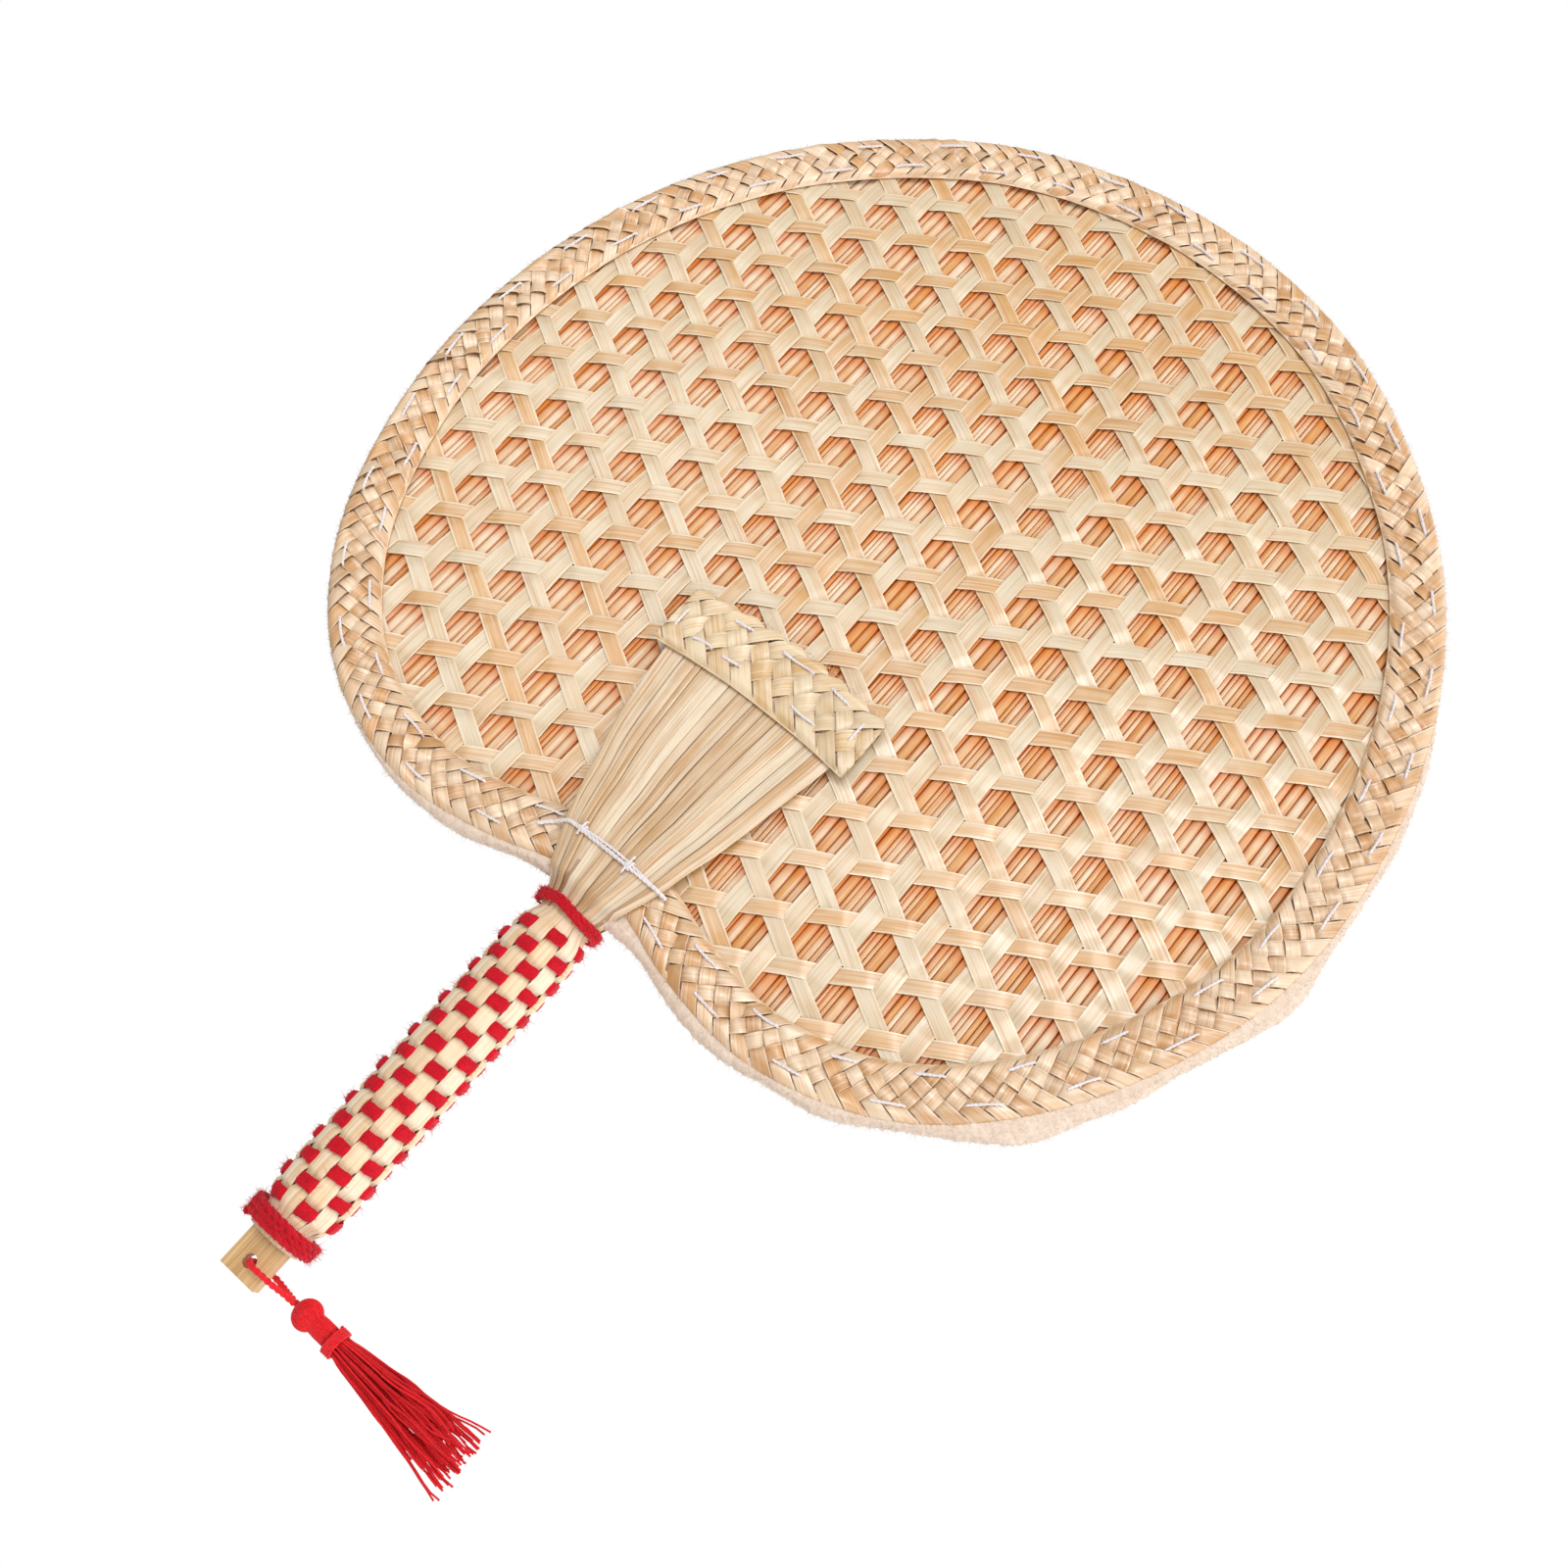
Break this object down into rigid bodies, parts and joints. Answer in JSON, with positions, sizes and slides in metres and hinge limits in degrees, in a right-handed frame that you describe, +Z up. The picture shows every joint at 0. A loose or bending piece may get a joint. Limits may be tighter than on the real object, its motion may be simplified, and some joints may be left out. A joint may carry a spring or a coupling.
{
  "type": "woven straw hand fan",
  "caption": "Hand fan: a heart-round blade of straw stalks under an open three-way weave, with a braided rim, a woven grip and a tassel that swings from the butt.",
  "frame": {"origin": "on the axis of the grip, midway between the neck and the butt of its sleeve", "axes": "+X along the grip to the tip of the blade, -Y out of the front face, +Z up when the fan is held sideways, so that the tassel hangs along -Z"},
  "size_m": [0.3678, 0.0168, 0.2794],
  "materials": {
    "stick": "dry split bamboo, satin",
    "splay_straw": "flat natural straw, satin with lengthwise grain",
    "stalk": "round natural stalks, satin",
    "strip": "split straw strips, satin sheen",
    "braid": "flat straw braid, satin",
    "padding": "matte loose fibre",
    "crimson_yarn": "fuzzy spun yarn",
    "white_thread": "matte sewing thread",
    "red_thread": "twisted embroidery thread, soft sheen"
  },
  "bodies": {
    "fan": {"grip_stick": "stick", "grip_sleeve": "splay_straw", "neck_binding": "crimson_yarn", "butt_binding": "crimson_yarn", "stalk_layer": "stalk", "front_weave": "strip", "front_rim_braid": "braid", "back_rim_braid": "braid", "edge_padding": "padding", "front_splay": "splay_straw", "back_splay": "splay_straw", "front_splay_band": "braid", "back_splay_band": "braid", "splay_thread": "white_thread"},
    "loop": {"tassel_loop": "red_thread"},
    "tassel": {"tassel_head": "red_thread", "tassel_wrap": "red_thread", "tassel_skirt": "red_thread"}
  },
  "joints": [
    {"name": "loop_swing", "type": "hinge", "parent": "fan", "child": "loop", "pos_m": [-0.053, 0, 0], "axis": [0, 1, 0], "range_deg": [-20, 200]},
    {"name": "tassel_swing", "type": "hinge", "parent": "loop", "child": "tassel", "pos_m": [-0.053, 0, -0.017], "axis": [1, 0, 0], "range_deg": [-50, 50]}
  ]
}
